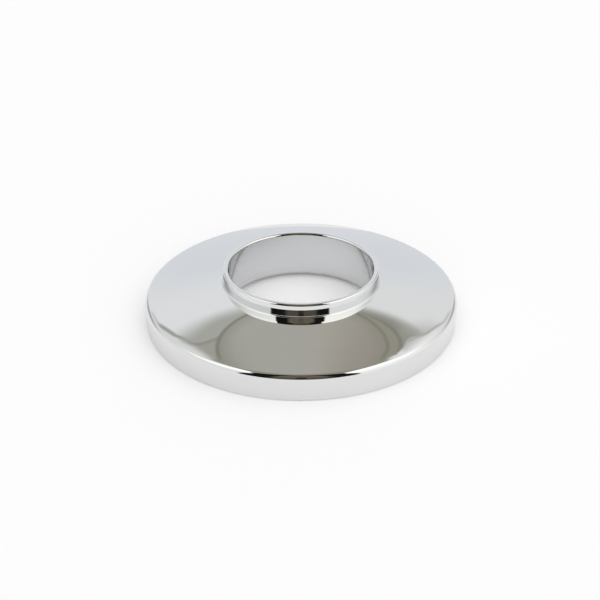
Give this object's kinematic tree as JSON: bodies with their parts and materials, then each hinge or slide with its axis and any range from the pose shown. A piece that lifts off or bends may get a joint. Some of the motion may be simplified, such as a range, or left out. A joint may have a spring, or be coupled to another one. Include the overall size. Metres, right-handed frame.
{
  "type": "tap rosette",
  "caption": "Round chromed cover with a domed flange and a short collar; it slides over a tap's threaded tail and hides the hole in the wall.",
  "frame": {"origin": "centre of the foot ring's lower face, on the bore's axis", "axes": "+Z along the bore's axis, away from the wall; the part is turned about Z"},
  "size_m": [0.058, 0.058, 0.0101],
  "materials": {
    "chrome": "polished chrome plating on brass"
  },
  "bodies": {
    "root": {"rosette": "chrome"}
  },
  "joints": []
}
